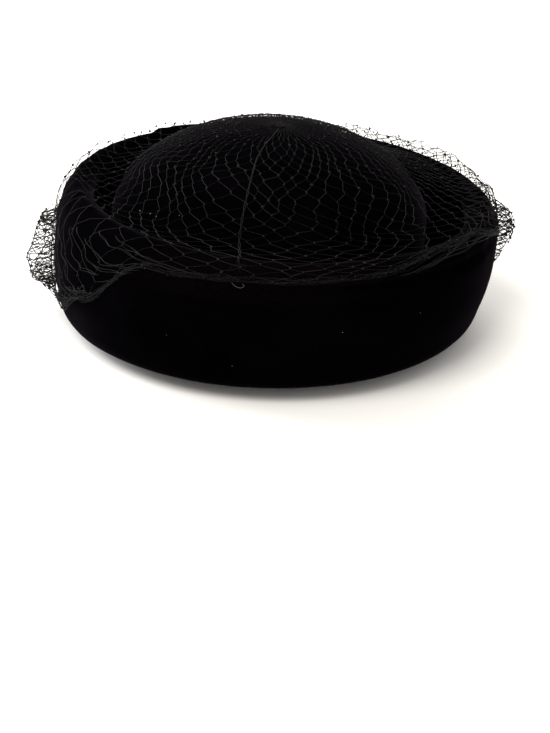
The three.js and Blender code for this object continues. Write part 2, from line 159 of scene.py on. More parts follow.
def cuff_outline(angle):
    """Outer line of the cuff's section: x is the inset from the belly, y the height."""
    crease = CREASE_DEPTH * bump_at(angle, CREASE_MIDDLE, CREASE_SPREAD)
    return [
        Vector((
            row["seat"] * SEAT_INSET + row["corner"] * CORNER_INSET + row["rim"] * RIM_INSET
            + row["roll"] * ROLL_WIDTH + row["crease"] * crease,
            row["height"] * CUFF_HEIGHT,
        ))
        for row in CUFF_SECTION
    ]


def smooth_line(points, steps):
    """Smooth line through points, with the given number of steps between two of them."""
    line = []
    last = len(points) - 1
    for index in range(last):
        before, start, end, after = (
            points[min(max(index + offset, 0), last)] for offset in (-1, 0, 1, 2)
        )
        for step in range(steps):
            t = step / steps
            line.append(0.5 * (
                2 * start
                + (end - before) * t
                + (2 * before - 5 * start + 4 * end - after) * t * t
                + (3 * start - before - 3 * end + after) * t * t * t
            ))
    return line + [points[last]]


def offset_line(line, distance):
    """An open section line moved along its normals; a positive distance goes to the inside."""
    moved = []
    for index, point in enumerate(line):
        before = line[max(index - 1, 0)]
        after = line[min(index + 1, len(line) - 1)]
        into = (point - before).normalized() if index else Vector((0, 0))
        out = (after - point).normalized() if index < len(line) - 1 else Vector((0, 0))
        tangent = (into + out).normalized()
        moved.append(Vector((point.x + tangent.y * distance, point.y - tangent.x * distance)))
    return moved


def lap_rise(angle):
    """Extra rise of the rim on the side of the seam where the cuff's end laps over its start."""
    past_start = angle - LAP_ANGLE + LAP_LENGTH
    return LAP_RISE * ease((LAP_ANGLE - angle) / LAP_STEP) * ease(past_start / LAP_FADE)


def place_on_cuff(angle, section_point):
    """Places a point of the cuff's section in space, with the rim's rise, lean and flare."""
    angle = angle % 360
    share = section_point.y / CUFF_HEIGHT
    flat = ellipse_point(BELLY_WIDTH / 2, BELLY_DEPTH / 2, angle, section_point.x)
    facing = max(math.cos(math.radians(angle)), 0)
    swing = FLARE * max(share - CUFF_MIDDLE, 0) * facing * facing
    rise = RIM_RISE * share * share * math.cos(math.radians(angle - RIM_HIGH_ANGLE))
    rise += lap_rise(angle) * max(share, 0) ** 3
    across = flat.x + LEAN * (share - CUFF_MIDDLE) + swing
    return MIDDLE + Vector((across, flat.y, max(section_point.y + rise, 0)))


def finished(name, mesh, material, slot, *nodes):
    """Puts a mesh into the scene as a piece of the hat that stands for some of its solids."""
    mesh.materials.clear()
    mesh.materials.append(material)
    mesh.shade_smooth()
    piece = bpy.data.objects.new(name, mesh)
    bpy.context.scene.collection.objects.link(piece)
    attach(piece, "root")
    if nodes:
        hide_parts(*nodes)
    return piece


def mesh_of_rows(name, rows, looped):
    """Closed mesh from rows of points round the hat. A row of one point is a pole."""
    body = bmesh.new()
    rings = [[body.verts.new(point) for point in row] for row in rows]
    bands = len(rings) if looped else len(rings) - 1
    for band in range(bands):
        lower, upper = rings[band], rings[(band + 1) % len(rings)]
        count = max(len(lower), len(upper))
        for column in range(count):
            corners = [
                lower[column % len(lower)],
                lower[(column + 1) % len(lower)],
                upper[(column + 1) % len(upper)],
                upper[column % len(upper)],
            ]
            body.faces.new(list(dict.fromkeys(corners)))
    bmesh.ops.recalc_face_normals(body, faces=body.faces)
    mesh = bpy.data.meshes.new(name)
    body.to_mesh(mesh)
    body.free()
    return mesh


# Velvet's soft unevenness: broad waves of the wall and small puckers where it turns over the roll
WAVE_SIZE = 0.045
WAVE_HEIGHT = 0.0009
WAVES_SET_IN_OVER = 0.3
PUCKER_SIZE = 0.009
PUCKER_HEIGHT = 0.0005
PUCKER_UPRIGHT = 0.35
PUCKERS_FROM = 0.6
PUCKERS_SET_IN_OVER = 0.3
CUFF_WAVE_SEED = 3
CUFF_PUCKER_SEED = 8


def velvet_wave(point, seed):
    place = point / WAVE_SIZE + Vector((seed, 0, 0))
    return WAVE_HEIGHT * noise.noise(place)


def pucker(point, seed, share):
    """Small puckers, longer up the wall than along it."""
    stretched = Vector((point.x, point.y, point.z * PUCKER_UPRIGHT))
    place = stretched / PUCKER_SIZE + Vector((seed, 0, 0))
    return PUCKER_HEIGHT * share * noise.noise(place)


def roll_share(height_share):
    """How near the rolled rim a height is, where the velvet puckers most."""
    return ease((height_share - PUCKERS_FROM) / PUCKERS_SET_IN_OVER)


def cuff_mesh():
    loops = []
    for column in range(CUFF_COLUMNS):
        angle = 360 * column / CUFF_COLUMNS
        outer = smooth_line(cuff_outline(angle), STEPS_PER_ROW)
        inner = offset_line(outer, CUFF_WALL)[::-1]
        loop = []
        for line, facing in ((outer, -1), (inner, 1)):
            for index, point in enumerate(line):
                placed = place_on_cuff(angle, point)
                share = point.y / CUFF_HEIGHT
                depth = ease(share / WAVES_SET_IN_OVER) * velvet_wave(placed, CUFF_WAVE_SEED)
                depth += pucker(placed, CUFF_PUCKER_SEED, roll_share(share))
                moved = offset_line(line[max(index - 1, 0):index + 2], facing * depth)
                loop.append(place_on_cuff(angle, moved[min(index, 1)]))
        loops.append(loop)
    rows = [list(row) for row in zip(*loops)]
    return mesh_of_rows("cuff_velvet", rows, True)


def node_group(name, inputs, outputs, kind="ShaderNodeTree"):
    """A node group with named inputs and outputs."""
    group = bpy.data.node_groups.new(name, kind)
    for label, socket_type, value in inputs:
        socket = group.interface.new_socket(label, in_out="INPUT", socket_type=socket_type)
        if value is not None:
            socket.default_value = value
    for label, socket_type in outputs:
        group.interface.new_socket(label, in_out="OUTPUT", socket_type=socket_type)
    return group, group.nodes.new("NodeGroupInput"), group.nodes.new("NodeGroupOutput")


def add(tree, kind, links=None, inputs=None, **settings):
    """A node with its properties, then its constant inputs, then its links set."""
    made = tree.nodes.new(kind)
    for key, value in settings.items():
        setattr(made, key, value)
    for socket, value in (inputs or {}).items():
        made.inputs[socket].default_value = value
    for socket, source in (links or {}).items():
        tree.links.new(source, made.inputs[socket])
    return made


def ranged(tree, source, taken, given=(0.0, 1.0)):
    """A value mapped from the range it is taken over onto the range that is given out."""
    return add(tree, "ShaderNodeMapRange", {"Value": source}, {
        "From Min": taken[0], "From Max": taken[1], "To Min": given[0], "To Max": given[1],
    }).outputs["Result"]


def multiplied(tree, first, second):
    return add(tree, "ShaderNodeMath", {0: first, 1: second}, operation="MULTIPLY").outputs[0]


def mixed(tree, factor, first, second):
    """A mix of two colours."""
    return add(tree, "ShaderNodeMix", {"Factor": factor, "A": first, "B": second},
               data_type="RGBA").outputs["Result"]


def bumped(tree, surface, height, strength, distance):
    """Fine relief on a surface."""
    bump = add(tree, "ShaderNodeBump", {"Height": height},
               {"Strength": strength, "Distance": distance})
    tree.links.new(bump.outputs["Normal"], surface.inputs["Normal"])


def new_material(name, constants):
    """A material whose own surface has some of its sockets set to constants."""
    material = bpy.data.materials.new(name)
    material.use_nodes = True
    tree = material.node_tree
    surface = tree.nodes["Principled BSDF"]
    for socket, value in constants.items():
        surface.inputs[socket].default_value = value
    return material, tree, surface


# Pile of the velvet: a short upright nap with broad patches where it is brushed one way or the
# other, and a fine grain. A band on the near side of the roll and its shoulder is painted a little
# lighter and browner, a painted sheen, broken up by the grain.
PATCH_RANGE = (0.35, 0.7)
PATCH_SHARE = 0.55
PATCH_RELIEF = 1.5
GRAIN_RANGE = (0.3, 0.8)
GRAIN_SHARES = (0.0, 0.6)
# Heights and nearness of the painted sheen band on the roll's near side, and how the grain breaks it
# up
PAINTED_SHEEN_HEIGHTS = (0.053, 0.061)
PAINTED_SHEEN_NEARNESS = (-0.088, -0.103)
PAINTED_SHEEN_GRAIN = (0.35, 0.65)
PAINTED_SHEEN_SHARES = (0.15, 1.0)
PILE_ROUGHNESS = (0.85, 1.0)


def velvet_pile():
    group, given, result = node_group(
        "velvet_pile",
        [
            ("Dark", "NodeSocketColor", None),
            ("Brushed", "NodeSocketColor", None),
            ("Painted Sheen", "NodeSocketColor", None),
            ("Patch Scale", "NodeSocketFloat", 22.0),
            ("Grain Scale", "NodeSocketFloat", 1400.0),
        ],
        [
            ("Colour", "NodeSocketColor"),
            ("Height", "NodeSocketFloat"),
            ("Roughness", "NodeSocketFloat"),
        ],
    )
    place = add(group, "ShaderNodeTexCoord").outputs["Object"]
    patches = add(group, "ShaderNodeTexNoise",
                  {"Vector": place, "Scale": given.outputs["Patch Scale"]},
                  {"Detail": 4.0, "Distortion": 0.6}).outputs["Fac"]
    grain = add(group, "ShaderNodeTexNoise",
                {"Vector": place, "Scale": given.outputs["Grain Scale"]},
                {"Detail": 2.0}).outputs["Fac"]
    share = add(group, "ShaderNodeMath", {
        0: ranged(group, patches, PATCH_RANGE),
        2: ranged(group, grain, GRAIN_RANGE, GRAIN_SHARES),
    }, {1: PATCH_SHARE}, operation="MULTIPLY_ADD", use_clamp=True)
    brushed = mixed(group, share.outputs[0], given.outputs["Dark"], given.outputs["Brushed"])
    axes = add(group, "ShaderNodeSeparateXYZ", {"Vector": place})
    # Painted sheen: a lighter brown band on the near side of the roll, where light catches the pile
    band = multiplied(
        group,
        ranged(group, axes.outputs["Z"], PAINTED_SHEEN_HEIGHTS),
        ranged(group, axes.outputs["Y"], PAINTED_SHEEN_NEARNESS),
    )
    painted_sheen = multiplied(group, band, ranged(group, grain, PAINTED_SHEEN_GRAIN, PAINTED_SHEEN_SHARES))
    height = add(group, "ShaderNodeMath", {0: patches, 2: grain}, {1: PATCH_RELIEF},
                 operation="MULTIPLY_ADD")
    for label, source in {
        "Colour": mixed(group, painted_sheen, brushed, given.outputs["Painted Sheen"]),
        "Height": height.outputs[0],
        "Roughness": ranged(group, patches, (0.0, 1.0), PILE_ROUGHNESS),
    }.items():
        group.links.new(source, result.inputs[label])
    return group


VELVET_DARK = (0.0002, 0.00015, 0.0002, 1)
VELVET_BRUSHED = (0.0011, 0.0008, 0.0012, 1)
# Colour of the painted sheen on the near side of the roll
VELVET_PAINTED_SHEEN = (0.0022, 0.0014, 0.0015, 1)
VELVET_SURFACE = {
    "Specular IOR Level": 0,
    "Sheen Weight": 0.032,
    "Sheen Roughness": 0.28,
    "Sheen Tint": (0.80, 0.70, 0.88, 1),
}
PILE_BUMP = 0.5
PILE_DEPTH = 0.0004


def velvet_material():
    material, tree, surface = new_material("black velvet", VELVET_SURFACE)
    pile = add(tree, "ShaderNodeGroup", node_tree=velvet_pile(), inputs={
        "Dark": VELVET_DARK,
        "Brushed": VELVET_BRUSHED,
        "Painted Sheen": VELVET_PAINTED_SHEEN,
    })
    tree.links.new(pile.outputs["Colour"], surface.inputs["Base Color"])
    tree.links.new(pile.outputs["Roughness"], surface.inputs["Roughness"])
    bumped(tree, surface, pile.outputs["Height"], PILE_BUMP, PILE_DEPTH)
    return material


velvet = velvet_material()
finished("cuff_velvet", cuff_mesh(), velvet, "velvet", "cuff")

# Crown. A low dome with its side wall, blocked from the same velvet over a stiff base. It is hollow
# and open below, and its foot is sewn to the edge of the head opening inside the cuff.
CROWN_WIDTH = 0.171
CROWN_DEPTH = 0.177
CROWN_SPRING = 0.059
DOME_RISE = 0.0465
DOME_FULLNESS = 1.8
CROWN_WALL = 0.0025
SEAM_CLEARANCE = 0.0015
SEAT_GAP = 0.0003
WAVES_SET_IN_FROM_SEAM = 0.2
CROWN_WAVE_SEED = 11
CROWN_COLUMNS = 220
SIDE_LEVELS = 26
DOME_LEVELS = 44
CROWN_FOOT = CUFF_WALL + SEAT_GAP
CROWN_FOOT_INSET = SEAT_INSET - SEAM_CLEARANCE - CROWN_WALL

# Side wall: share of the way from the foot's outline to the dome's, at shares of the height
CROWN_SIDE = [
    {"swell": 0, "height": 0},
    {"swell": 0.45, "height": 0.33},
    {"swell": 0.85, "height": 0.7},
    {"swell": 1, "height": 1},
]


def side_swell(level):
    after = next(index for index, row in enumerate(CROWN_SIDE) if row["height"] >= level)
    after = max(after, 1)
    start, end = CROWN_SIDE[after - 1], CROWN_SIDE[after]
    return mix(start["swell"], end["swell"],
               (level - start["height"]) / (end["height"] - start["height"]))


def crown_point(angle, level, outward):
    """Crown's surface: level runs from 0 at its foot over 1 at the dome's spring to 2 on top."""
    turn = math.radians(angle)
    if level >= 1:
        climb = min(level - 1, 1) * 0.5 * math.pi
        reach = max(math.cos(climb), 0) ** (2 / DOME_FULLNESS)
        return MIDDLE + Vector((
            CROWN_SHIFT + (CROWN_WIDTH / 2 + outward) * reach * math.cos(turn),
            CROWN_SET_BACK + (CROWN_DEPTH / 2 + outward) * reach * math.sin(turn),
            CROWN_SPRING + (DOME_RISE + outward) * math.sin(climb) ** (2 / DOME_FULLNESS),
        ))
    foot = ellipse_point(BELLY_WIDTH / 2, BELLY_DEPTH / 2, angle, CROWN_FOOT_INSET - outward)
    foot.x -= LEAN * CUFF_MIDDLE
    spring = Vector((
        CROWN_SHIFT + (CROWN_WIDTH / 2 + outward) * math.cos(turn),
        CROWN_SET_BACK + (CROWN_DEPTH / 2 + outward) * math.sin(turn),
    ))
    flat = foot.lerp(spring, side_swell(level))
    return MIDDLE + Vector((flat.x, flat.y, mix(CROWN_FOOT, CROWN_SPRING, level)))


def crown_mesh():
    angles = [360 * column / CROWN_COLUMNS for column in range(CROWN_COLUMNS)]
    levels = [index / SIDE_LEVELS for index in range(SIDE_LEVELS)]
    levels += [1 + index / DOME_LEVELS for index in range(DOME_LEVELS)]

    def ring(level, outward):
        points = []
        hold = ease(level / WAVES_SET_IN_FROM_SEAM)
        for angle in angles:
            wave = hold * velvet_wave(crown_point(angle, level, outward), CROWN_WAVE_SEED)
            points.append(crown_point(angle, level, outward + wave))
        return points

    outer = [ring(level, 0) for level in levels]
    inner = [ring(level, -CROWN_WALL) for level in levels]
    rows = [[crown_point(0, 2, 0)], *outer[::-1], *inner, [crown_point(0, 2, -CROWN_WALL)]]
    return mesh_of_rows("crown_velvet", rows, False)


finished("crown_velvet", crown_mesh(), velvet, "velvet", "crown")

# Veil. A round of coarse black net, knotted in six-sided cells. It is gathered to a point on top of
# the crown, drawn over the crown, the gutter and the rim, and crowds together round the far right.
VEIL_LIFT = 0.0013
VEIL_RIM_LIFT = 0.0012
VEIL_COLUMNS = 62
VEIL_CROWN_ROWS = 21
VEIL_RIM_ROWS = 4
VEIL_TOP_RADIUS = 0.0030
VEIL_ROW_SPACING = 0.86
GATHER_SHIFT = Vector((0.0046, -0.0059))
GATHER_REACH = 0.045
STRAND_RADIUS = 0.00014
KNOT_RADIUS = 0.00064
KNOT_SWELL = 1.5
STEEP_STRAND = 1.2
FAINT_STRAND = 0.6
GATHER_STRAND = 0.35
PUFF_ROWS_OVER = 3.0
PUFF_ROWS_DOWN = 2.4
GATHER_STRAND_ROWS = 8
GUTTER_SAG = 0.0015
OVER_STEPS = 16
GUTTER_STEPS = 6
HEM_ROOM = 0.02

# Shake of each knot and slow drift of the cells, in columns and rows of the net
VEIL_JITTER = 0.17
VEIL_DRIFT = 1.1
DRIFT_ROUND = 1.9
DRIFT_ROWS = 4.5
DRIFT_ROWS_FROM_GATHER = 5
DRIFT_ROWS_FROM_EDGE = 3

# How the net stands up off the rim and crumples, as shares of the table's values below
PUFF_LEAST = 0.7
PUFF_UNEVEN = 0.8
PUFF_SPARE = 0.6
PUFF_OUTWARD = 0.55
SPARE_APART = 9
CRUMPLED_FROM_ROW = 11
CRUMPLED_OVER_ROWS = 7
CRUMPLE_LEAST = 0.4
CRUMPLE_PUFFED = 0.6
CRUMPLE_SIZE = 0.012
CRUMPLE_SEED = 5
noise.seed_set(CRUMPLE_SEED)

# Round the hat: share of the dome's rise where the net leaves the crown, height share of the
# gathered edge on the cuff's outside, share of the gathered edge's full width, how closely the
# net's columns crowd, and in millimetres how far it stands up off the rim and how crumpled it is
VEIL_ROUND = [
    {"angle": 0, "leave": 0.42, "hem": 0.70, "full": 0.8, "crowd": 1.8, "puff": 3, "crumple": 1.2},
    {"angle": 30, "leave": 0.5, "hem": 0.57, "full": 0.8, "crowd": 2, "puff": 4, "crumple": 1.8},
    {"angle": 60, "leave": 0.5, "hem": 0.6, "full": 0.8, "crowd": 2, "puff": 4.6, "crumple": 2.0},
    {"angle": 88, "leave": 0.5, "hem": 0.6, "full": 0.8, "crowd": 1.6, "puff": 1.2, "crumple": 1.2},
    {"angle": 120, "leave": 0.45, "hem": 0.6, "full": 0.8, "crowd": 1.2, "puff": 2.4, "crumple": 1.1},
    {"angle": 150, "leave": 0.4, "hem": 0.56, "full": 0.7, "crowd": 1.3, "puff": 2.6, "crumple": 1.2},
    {"angle": 188, "leave": 0.35, "hem": 0.28, "full": 0.6, "crowd": 1.4, "puff": 2.6, "crumple": 1.2},
    {"angle": 204, "leave": 0.32, "hem": 0.28, "full": 0.9, "crowd": 1, "puff": 0.7, "crumple": 0.7},
    {"angle": 219, "leave": 0.31, "hem": 0.50, "full": 0.8, "crowd": 1, "puff": 0.6, "crumple": 0.7},
    {"angle": 238, "leave": 0.3, "hem": 0.87, "full": 0.6, "crowd": 1, "puff": 0.5, "crumple": 0.9},
    {"angle": 268, "leave": 0.3, "hem": 0.905, "full": 0.6, "crowd": 1, "puff": 0.4, "crumple": 1.0},
    {"angle": 294, "leave": 0.3, "hem": 0.93, "full": 0.6, "crowd": 1, "puff": 0.4, "crumple": 0.9},
    {"angle": 314, "leave": 0.32, "hem": 0.99, "full": 0.7, "crowd": 1, "puff": 0.3, "crumple": 0.5},
    {"angle": 330, "leave": 0.36, "hem": 0.99, "full": 0.7, "crowd": 1.2, "puff": 1, "crumple": 0.7},
    {"angle": 346, "leave": 0.39, "hem": 0.88, "full": 0.8, "crowd": 1.5, "puff": 1.8, "crumple": 0.9},
]
MILLIMETRE = 0.001


def round_at(column, angle):
    """Value of one column of the table of angles, eased between rows and closed round the hat."""
    angle = angle % 360
    after = next((i for i, row in enumerate(VEIL_ROUND) if row["angle"] > angle), 0)
    start, end = VEIL_ROUND[after - 1], VEIL_ROUND[after]
    reach = (end["angle"] - start["angle"]) % 360
    return mix(start[column], end[column], ease(((angle - start["angle"]) % 360) / reach))


def column_angles():
    """Angle of each column of the net, closer together where the net is crowded."""
    passed = [0]
    for degree in range(360):
        passed.append(passed[-1] + round_at("crowd", degree + 0.5))
    angles = []
    degree = 0
    for column in range(VEIL_COLUMNS):
        wanted = passed[-1] * column / VEIL_COLUMNS
        while passed[degree + 1] < wanted:
            degree += 1
        angles.append(degree + (wanted - passed[degree]) / (passed[degree + 1] - passed[degree]))
    return angles + [360]


COLUMN_ANGLES = column_angles()


def veil_angle(column):
    turns, column = divmod(column, VEIL_COLUMNS)
    whole = int(column)
    return 360 * turns + mix(COLUMN_ANGLES[whole], COLUMN_ANGLES[whole + 1], column - whole)


def outline_at(outline, height_share):
    """Point of the cuff's outside at a height share."""
    height = height_share * CUFF_HEIGHT
    row = BELLY_ROW
    while row < CREST_ROW - 1 and outline[row + 1].y < height:
        row += 1
    share = (height - outline[row].y) / (outline[row + 1].y - outline[row].y)
    return outline[row].lerp(outline[row + 1], min(max(share, 0), 1))


def on_cuff(angle, height_share, lift):
    """Point a little off the cuff's outside."""
    return place_on_cuff(angle, outline_at(offset_line(cuff_outline(angle), -lift), height_share))


def dome_level(rise_share):
    return 1 + math.asin(rise_share ** (DOME_FULLNESS / 2)) / (0.5 * math.pi)


def dome_level_at_radius(radius):
    reach = 4 * radius / (CROWN_WIDTH + CROWN_DEPTH)
    return 1 + math.acos(reach ** (DOME_FULLNESS / 2)) / (0.5 * math.pi)


def drawn_to_gather(place, outward):
    """Shifts a point over the dome toward the gather, which lies off the apex, and keeps it on it."""
    flat = place.xy - MIDDLE.xy - Vector((CROWN_SHIFT, CROWN_SET_BACK))
    flat += (1 - ease(flat.length / GATHER_REACH)) * GATHER_SHIFT
    reach = math.hypot(
        flat.x / (CROWN_WIDTH / 2 + outward),
        flat.y / (CROWN_DEPTH / 2 + outward),
    )
    climb = math.acos(min(reach, 1) ** (DOME_FULLNESS / 2))
    height = CROWN_SPRING + (DOME_RISE + outward) * math.sin(climb) ** (2 / DOME_FULLNESS)
    return MIDDLE + Vector((flat.x + CROWN_SHIFT, flat.y + CROWN_SET_BACK, height))


def veil_line(angle):
    """The net's line from the gather down the crown and across the gutter, and from the crest of
    the rim down to the gathered edge."""
    top = dome_level_at_radius(VEIL_TOP_RADIUS)
    foot = dome_level(round_at("leave", angle))
    over = []
    for step in range(OVER_STEPS + 1):
        level = mix(top, foot, step / OVER_STEPS)
        over.append(drawn_to_gather(crown_point(angle, level, VEIL_LIFT), VEIL_LIFT))
    lifted = offset_line(cuff_outline(angle), -VEIL_RIM_LIFT)
    leave, crest = over[-1], place_on_cuff(angle, lifted[CREST_ROW])
    for step in range(1, GUTTER_STEPS):
        share = step / GUTTER_STEPS
        sag = GUTTER_SAG * 4 * share * (1 - share)
        over.append(leave.lerp(crest, share) - Vector((0, 0, sag)))
    over.append(crest)
    end = round_at("hem", angle)
    down = [crest]
    for row in range(CREST_ROW - 1, BELLY_ROW, -1):
        if CUFF_SECTION[row]["height"] > end + HEM_ROOM:
            down.append(place_on_cuff(angle, lifted[row]))
    down.append(place_on_cuff(angle, outline_at(lifted, end)))
    return over, down


def along(line, share):
    """Point at a share of a line's length."""
    lengths = [(end - start).length for start, end in zip(line, line[1:])]
    left = min(max(share, 0), 1) * sum(lengths)
    for start, end, length in zip(line, line[1:], lengths):
        if left <= length:
            return start.lerp(end, left / length)
        left -= length
    return line[-1].copy()


def veil_point(angle, row, spare=0):
    """Point of the net; row counts rows of knots from the gather. Spare net stands further off."""
    over, down = veil_line(angle)
    beyond = row - VEIL_CROWN_ROWS
    if beyond <= 0:
        place = along(over, (row / VEIL_CROWN_ROWS) ** VEIL_ROW_SPACING)
        near = ease(1 + beyond / PUFF_ROWS_OVER)
    else:
        place = along(down, beyond / VEIL_RIM_ROWS)
        near = ease(1 - beyond / PUFF_ROWS_DOWN)
    turn = math.radians(angle)
    outward = Vector((math.cos(turn), math.sin(turn), 0))
    rough = noise.noise_vector(place / CRUMPLE_SIZE + Vector((0, 0, SPARE_APART * spare)))
    standing = PUFF_LEAST + PUFF_UNEVEN * rough.x + PUFF_SPARE * spare
    puff = round_at("puff", angle) * MILLIMETRE * standing
    place += max(puff, 0) * near * (Vector((0, 0, 1)) + PUFF_OUTWARD * outward)
    hold = ease((row - CRUMPLED_FROM_ROW) / CRUMPLED_OVER_ROWS) * (1 + spare)
    away = rough - min(rough.dot(outward), 0) * outward
    loose = CRUMPLE_LEAST + CRUMPLE_PUFFED * near
    return place + hold * round_at("crumple", angle) * MILLIMETRE * loose * away


# Shares of a strand's thickness, of a knot's size and of the way from one knot to the next
CUT_END = 0.6
KNOT_SIZES = (0.6, 1.25)
SMALL_KNOT_ROWS = 6
STRAND_MIDDLES = (0.16, 0.5, 0.84)
STRAND_BESIDE = 0.1
STRAND_CROSSING = 0.8
STRAND_SWELLS = (0.85, 1.15)


class Strands:
    """Knots and the strands between them, gathered as points and edges for the net's tree."""

    def __init__(self):
        self.points = []
        self.edges = []
        self.swell = []
        self.knots = []

    def point(self, place, swell, knot=0):
        self.points.append(place)
        self.swell.append(swell)
        self.knots.append(knot)
        return len(self.points) - 1

    def strand(self, start, end, middles, swell=1):
        chain = [start, *(self.point(place, swell) for place in middles), end]
        self.edges.extend(zip(chain, chain[1:]))

    def thread(self, places, swell, closed=False):
        """A free strand through places, thinner at its two cut ends."""
        last = len(places) - 1
        chain = [
            self.point(place, swell * (CUT_END if not closed and index in (0, last) else 1))
            for index, place in enumerate(places)
        ]
        self.edges.extend(zip(chain, chain[1:] + chain[:1] if closed else chain[1:]))

    def mesh(self, name):
        mesh = bpy.data.meshes.new(name)
        mesh.from_pydata(self.points, self.edges, [])
        mesh.attributes.new("swell", "FLOAT", "POINT").data.foreach_set("value", self.swell)
        mesh.attributes.new("knot", "FLOAT", "POINT").data.foreach_set("value", self.knots)
        return mesh


def lattice(net, surface, columns, rows, chance, closed=False, jitter=VEIL_JITTER,
            thickness=lambda row, column, way: 1):
    """Staggered net on a surface of (column, row), added to a set of strands. Strands leave a knot
    almost side by side, so the cells are nearly six-sided. The thickness depends on the knot's row
    and column and on which way a strand runs from it."""
    spots = {}
    for row in range(rows + 1):
        count = columns if closed else columns + 1 - row % 2
        for column in range(count):
            shake = jitter if 0 < row < rows else 0
            across = column + 0.5 * (row % 2) + chance.uniform(-shake, shake)
            down = row + chance.uniform(-shake, shake)
            size = chance.uniform(*KNOT_SIZES) * ease((row + 1.5) / SMALL_KNOT_ROWS)
            tied = KNOT_SWELL * thickness(row, column, 0)
            spots[row, column] = (net.point(surface(across, down), tied, size), across, down)

    def joined(start, end, wrap, swell):
        first, across, down = start
        second, next_across, next_down = end
        middles = []
        for share in STRAND_MIDDLES:
            sideways = ease((share - STRAND_BESIDE) / STRAND_CROSSING)
            middles.append(surface(
                mix(across, next_across + wrap, sideways),
                mix(down, next_down, share),
            ))
        net.strand(first, second, middles, swell * chance.uniform(*STRAND_SWELLS))

    for row in range(rows):
        for column in range(columns):
            for step in (0, 1):
                next_column = column + step - (1 - row % 2)
                wrap = next_column // columns * columns if closed else 0
                end = spots.get((row + 1, next_column - wrap))
                if end:
                    swell = thickness(row, column, 2 * step - 1)
                    joined(spots[row, column], end, wrap, swell)
    return net


KNOT_SEGMENTS = {"Segments": 6, "Rings": 4}
KNOT_LEAST = (0.7, 0.7, 0.9)
KNOT_MOST = (1.05, 1.05, 1.5)


def net_tree():
    """Turns a net's edges into round strands and sets a knot on each crossing."""
    tree, given, result = node_group("knotted net", [
        ("Geometry", "NodeSocketGeometry", None),
        ("Strand Radius", "NodeSocketFloat", STRAND_RADIUS),
        ("Strand Sides", "NodeSocketInt", 4),
        ("Knot Radius", "NodeSocketFloat", KNOT_RADIUS),
        ("Seed", "NodeSocketInt", 1),
        ("Material", "NodeSocketMaterial", None),
    ], [("Geometry", "NodeSocketGeometry")], "GeometryNodeTree")
    net, seed = given.outputs["Geometry"], given.outputs["Seed"]
    swell, knot = (
        add(tree, "GeometryNodeInputNamedAttribute", inputs={"Name": name},
            data_type="FLOAT").outputs["Attribute"]
        for name in ("swell", "knot")
    )
    curve = add(tree, "GeometryNodeMeshToCurve", {"Mesh": net})
    section = add(tree, "GeometryNodeCurvePrimitiveCircle", {
        "Resolution": given.outputs["Strand Sides"],
        "Radius": given.outputs["Strand Radius"],
    })
    tube = add(tree, "GeometryNodeCurveToMesh", {
        "Curve": curve.outputs["Curve"],
        "Profile Curve": section.outputs["Curve"],
        "Scale": swell,
    }, {"Fill Caps": True})
    ball = add(tree, "GeometryNodeMeshUVSphere", {"Radius": given.outputs["Knot Radius"]},
               KNOT_SEGMENTS)
    turn = add(tree, "FunctionNodeRandomValue", {"Seed": seed}, {"Max": (2 * math.pi,) * 3},
               data_type="FLOAT_VECTOR")
    size = add(tree, "FunctionNodeRandomValue", {"Seed": seed},
               {"Min": KNOT_LEAST, "Max": KNOT_MOST}, data_type="FLOAT_VECTOR")
    grown = add(tree, "ShaderNodeVectorMath", {"Vector": size.outputs["Value"], "Scale": knot},
                operation="SCALE")
    chosen = add(tree, "FunctionNodeCompare", {"A": knot}, operation="GREATER_THAN")
    knots = add(tree, "GeometryNodeInstanceOnPoints", {
        "Points": net,
        "Selection": chosen.outputs["Result"],
        "Instance": ball.outputs["Mesh"],
        "Rotation": turn.outputs["Value"],
        "Scale": grown.outputs["Vector"],
    })
    both = add(tree, "GeometryNodeJoinGeometry", {"Geometry": tube.outputs["Mesh"]})
    tree.links.new(knots.outputs["Instances"], both.inputs["Geometry"])
    real = add(tree, "GeometryNodeRealizeInstances", {"Geometry": both.outputs["Geometry"]})
    painted = add(tree, "GeometryNodeSetMaterial", {
        "Geometry": real.outputs["Geometry"],
        "Material": given.outputs["Material"],
    })
    tree.links.new(painted.outputs["Geometry"], result.inputs["Geometry"])
    return tree


NET_TREE = net_tree()


def netted(name, net, **inputs):
    """Runs the net's tree on a set of strands and returns the plain mesh it makes."""
    holder = bpy.data.objects.new(name + "_strands", net.mesh(name))
    bpy.context.scene.collection.objects.link(holder)
    modifier = holder.modifiers.new("net", "NODES")
    modifier.node_group = NET_TREE
    labels = {
        item.name: item.identifier
        for item in NET_TREE.interface.items_tree
        if item.in_out == "INPUT"
    }
    for label, value in inputs.items():
        modifier[labels[label.replace("_", " ").title()]] = value
    evaluated = holder.evaluated_get(bpy.context.evaluated_depsgraph_get())
    mesh = bpy.data.meshes.new_from_object(evaluated)
    bpy.data.objects.remove(holder)
    return mesh


NET_DARK = (0.0010, 0.0009, 0.0010, 1)
NET_WORN = (0.0064, 0.0056, 0.0061, 1)
NET_SURFACE = {"Roughness": 0.62, "Specular IOR Level": 0.11}
WORN_PATCHES = {"Scale": 90.0, "Detail": 4.0}
WORN_RANGE = (0.38, 0.68)
NET_FIBRE = {"Scale": 5200.0, "Detail": 2.0}
FIBRE_BUMP = 0.6
FIBRE_DEPTH = 0.0001


